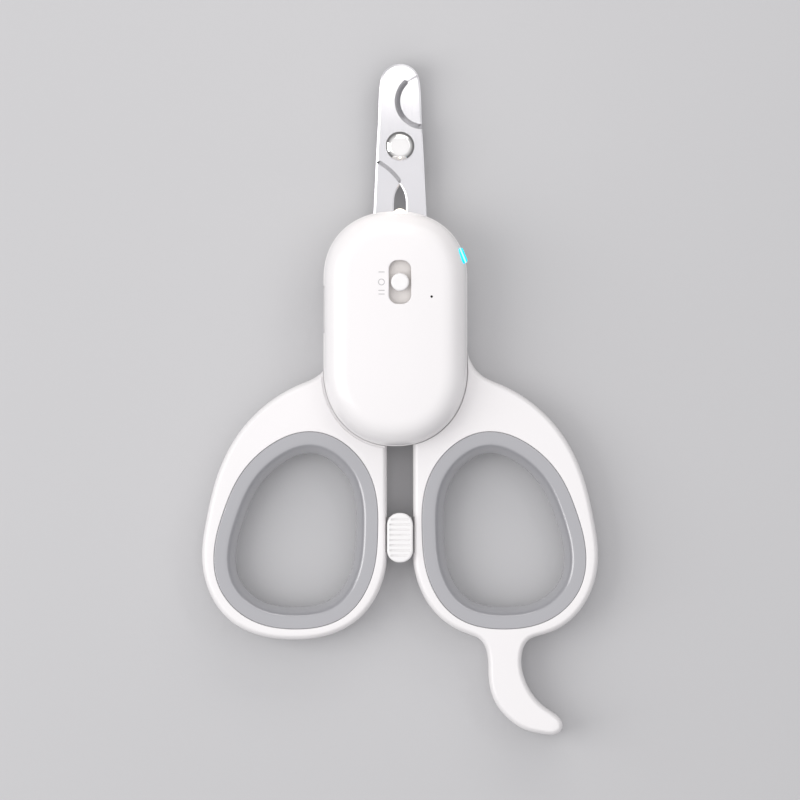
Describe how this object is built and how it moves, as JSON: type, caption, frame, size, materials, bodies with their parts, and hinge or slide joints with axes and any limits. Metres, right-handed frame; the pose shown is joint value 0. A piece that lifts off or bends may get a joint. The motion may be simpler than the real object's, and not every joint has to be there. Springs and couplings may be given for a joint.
{
  "type": "pet nail clipper",
  "caption": "Scissor-type pet nail clipper with soft finger loops, notched steel blades, a lit battery housing with a slide switch, and a sliding handle lock.",
  "frame": {"origin": "middle of the bounding box, on the plane the clipper's back lies on", "axes": "+X to the right handle, +Y to the blade tips, +Z out of the front face"},
  "size_m": [0.0792, 0.1342, 0.018],
  "materials": {
    "white_plastic": "satin white",
    "beige_plastic": "matt",
    "grey_rubber": "soft matt grey",
    "blade_steel": "ground and polished",
    "chrome": "polished",
    "steel": "plain",
    "board_green": "solder mask",
    "battery_foil": "laminated foil",
    "black_plastic": "matt",
    "red_wire": "wire sleeve",
    "lamp": "clear resin, lit warm white",
    "cyan_lens": "frosted, lit cyan"
  },
  "bodies": {
    "root": {"right_handle": "white_plastic", "right_grip": "grey_rubber", "front_blade": "blade_steel", "front_blade_screw_1": "steel", "front_blade_screw_2": "steel", "pivot_bolt": "chrome", "pivot_washer": "steel", "pivot_nut": "steel", "housing_base": "white_plastic", "housing_cover": "white_plastic", "housing_screw_1": "steel", "housing_screw_2": "steel", "housing_screw_3": "steel", "housing_screw_4": "steel", "circuit_board": "board_green", "charge_chip": "black_plastic", "charge_socket": "steel", "switch_case": "steel", "front_led": "lamp", "side_led": "lamp", "side_lens": "cyan_lens", "indicator_led": "lamp", "battery": "battery_foil", "battery_lead_red": "red_wire", "battery_lead_black": "black_plastic", "lock_pin": "steel"},
    "left": {"left_handle": "white_plastic", "left_grip": "grey_rubber", "rear_blade": "blade_steel", "rear_blade_screw_1": "steel", "rear_blade_screw_2": "steel"},
    "switch_slider": {"switch_knob": "white_plastic", "switch_carrier": "beige_plastic", "switch_lever": "black_plastic"},
    "lock": {"lock_button": "white_plastic", "lock_plate": "white_plastic", "lock_screw": "steel"}
  },
  "joints": [
    {"name": "handle_pivot", "type": "hinge", "parent": "root", "child": "left", "pos_m": [0, 0.0507, 0.004], "axis": [0, 0, -1], "range_deg": [0, 24]},
    {"name": "switch_slide", "type": "slide", "parent": "root", "child": "switch_slider", "axis": [0, 1, 0], "range_m": [-0.002, 0.002]},
    {"name": "lock_slide", "type": "slide", "parent": "root", "child": "lock", "axis": [0, 1, 0], "range_m": [0, 0.0022]}
  ]
}
